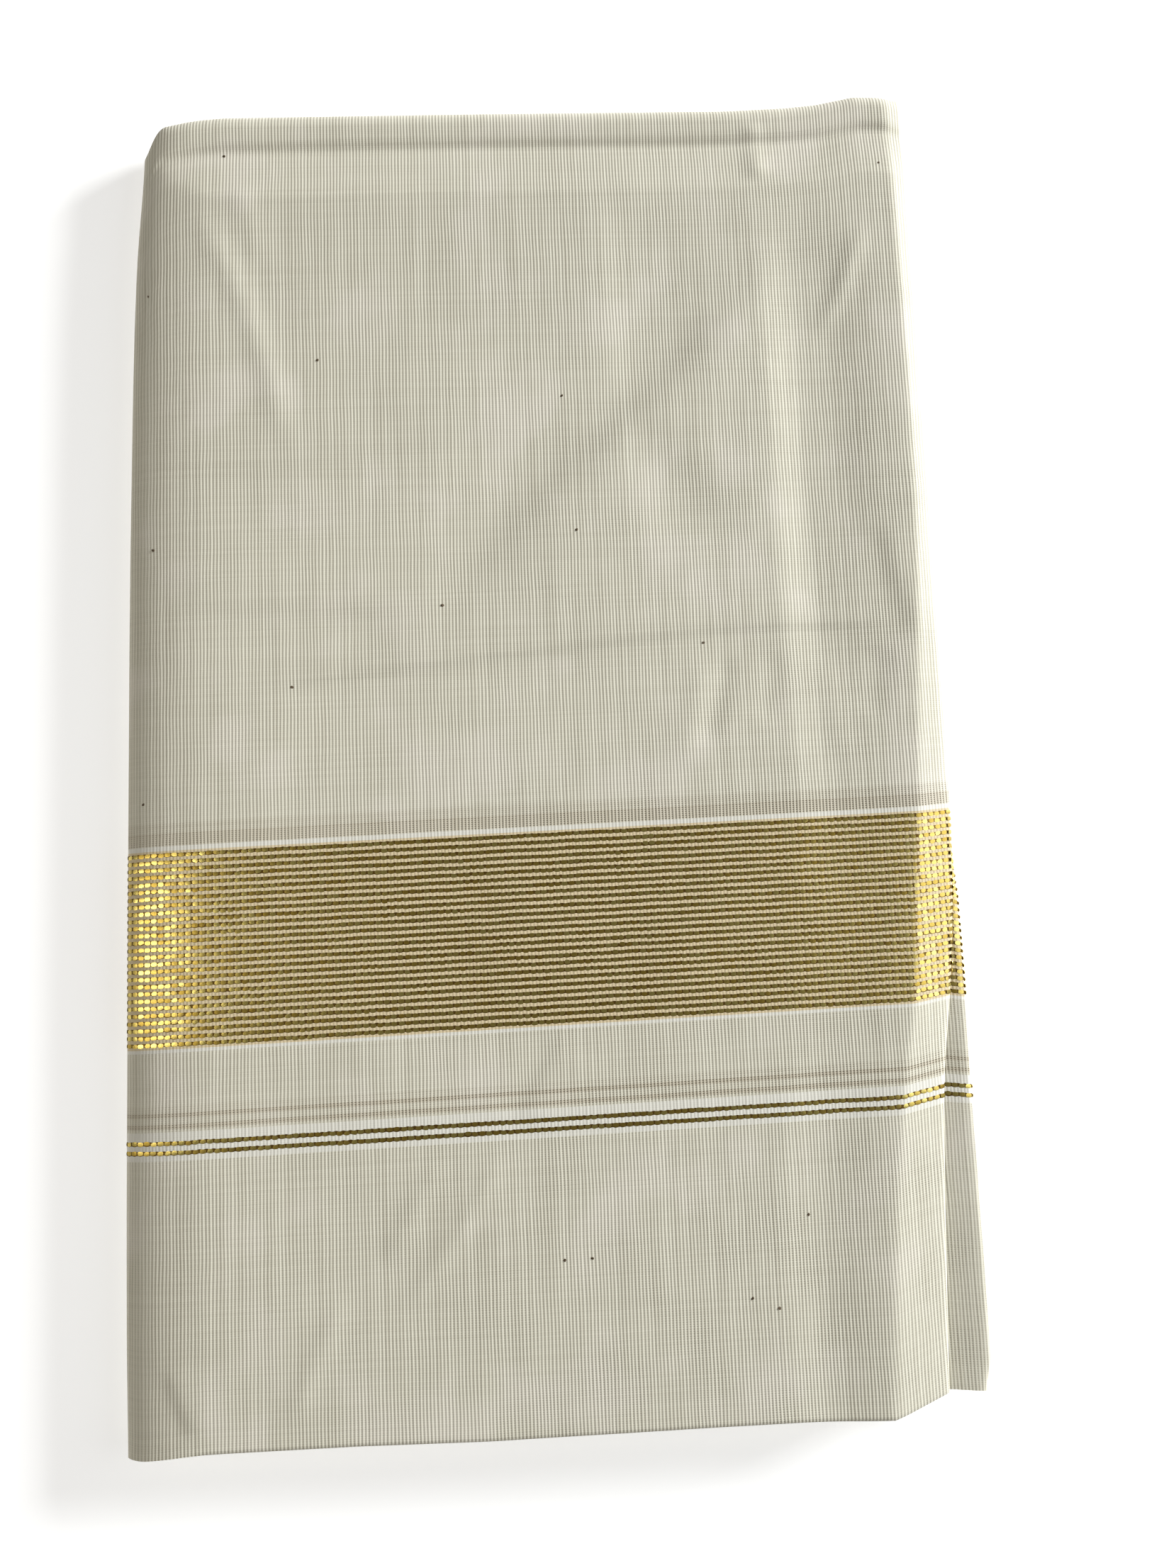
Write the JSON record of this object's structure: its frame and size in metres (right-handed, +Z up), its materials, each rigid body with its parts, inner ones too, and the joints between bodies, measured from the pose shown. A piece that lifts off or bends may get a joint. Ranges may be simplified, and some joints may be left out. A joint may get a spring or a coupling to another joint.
{
  "type": "folded dhoti cloth",
  "caption": "Cream cotton dhoti with a woven gold border and guard lines, folded flat into a rectangular packet that rests on a surface",
  "frame": {"origin": "under the middle of the packet's bounding box, on the surface it rests on", "axes": "+X across the packet along the gold stripes, towards the side where the second fold looks out; +Y along the packet from the open end towards the big fold; +Z up"},
  "size_m": [0.2509, 0.4121, 0.0144],
  "materials": {
    "cotton": "unbleached plain-weave cotton, matt, with ribbed threads and small dark flecks",
    "zari": "gold metallic thread woven in fine stripes with cream cotton between them",
    "inner_cotton": "the same cotton on the folded inner layers"
  },
  "bodies": {
    "root": {"field_stretch": "cotton", "border_band": "zari", "gap_stretch": "cotton", "guard_lines": "zari", "end_stretch": "cotton", "second_fold": "cotton", "lower_fold": "cotton", "underside": "cotton", "hidden_layers": "inner_cotton"}
  },
  "joints": []
}
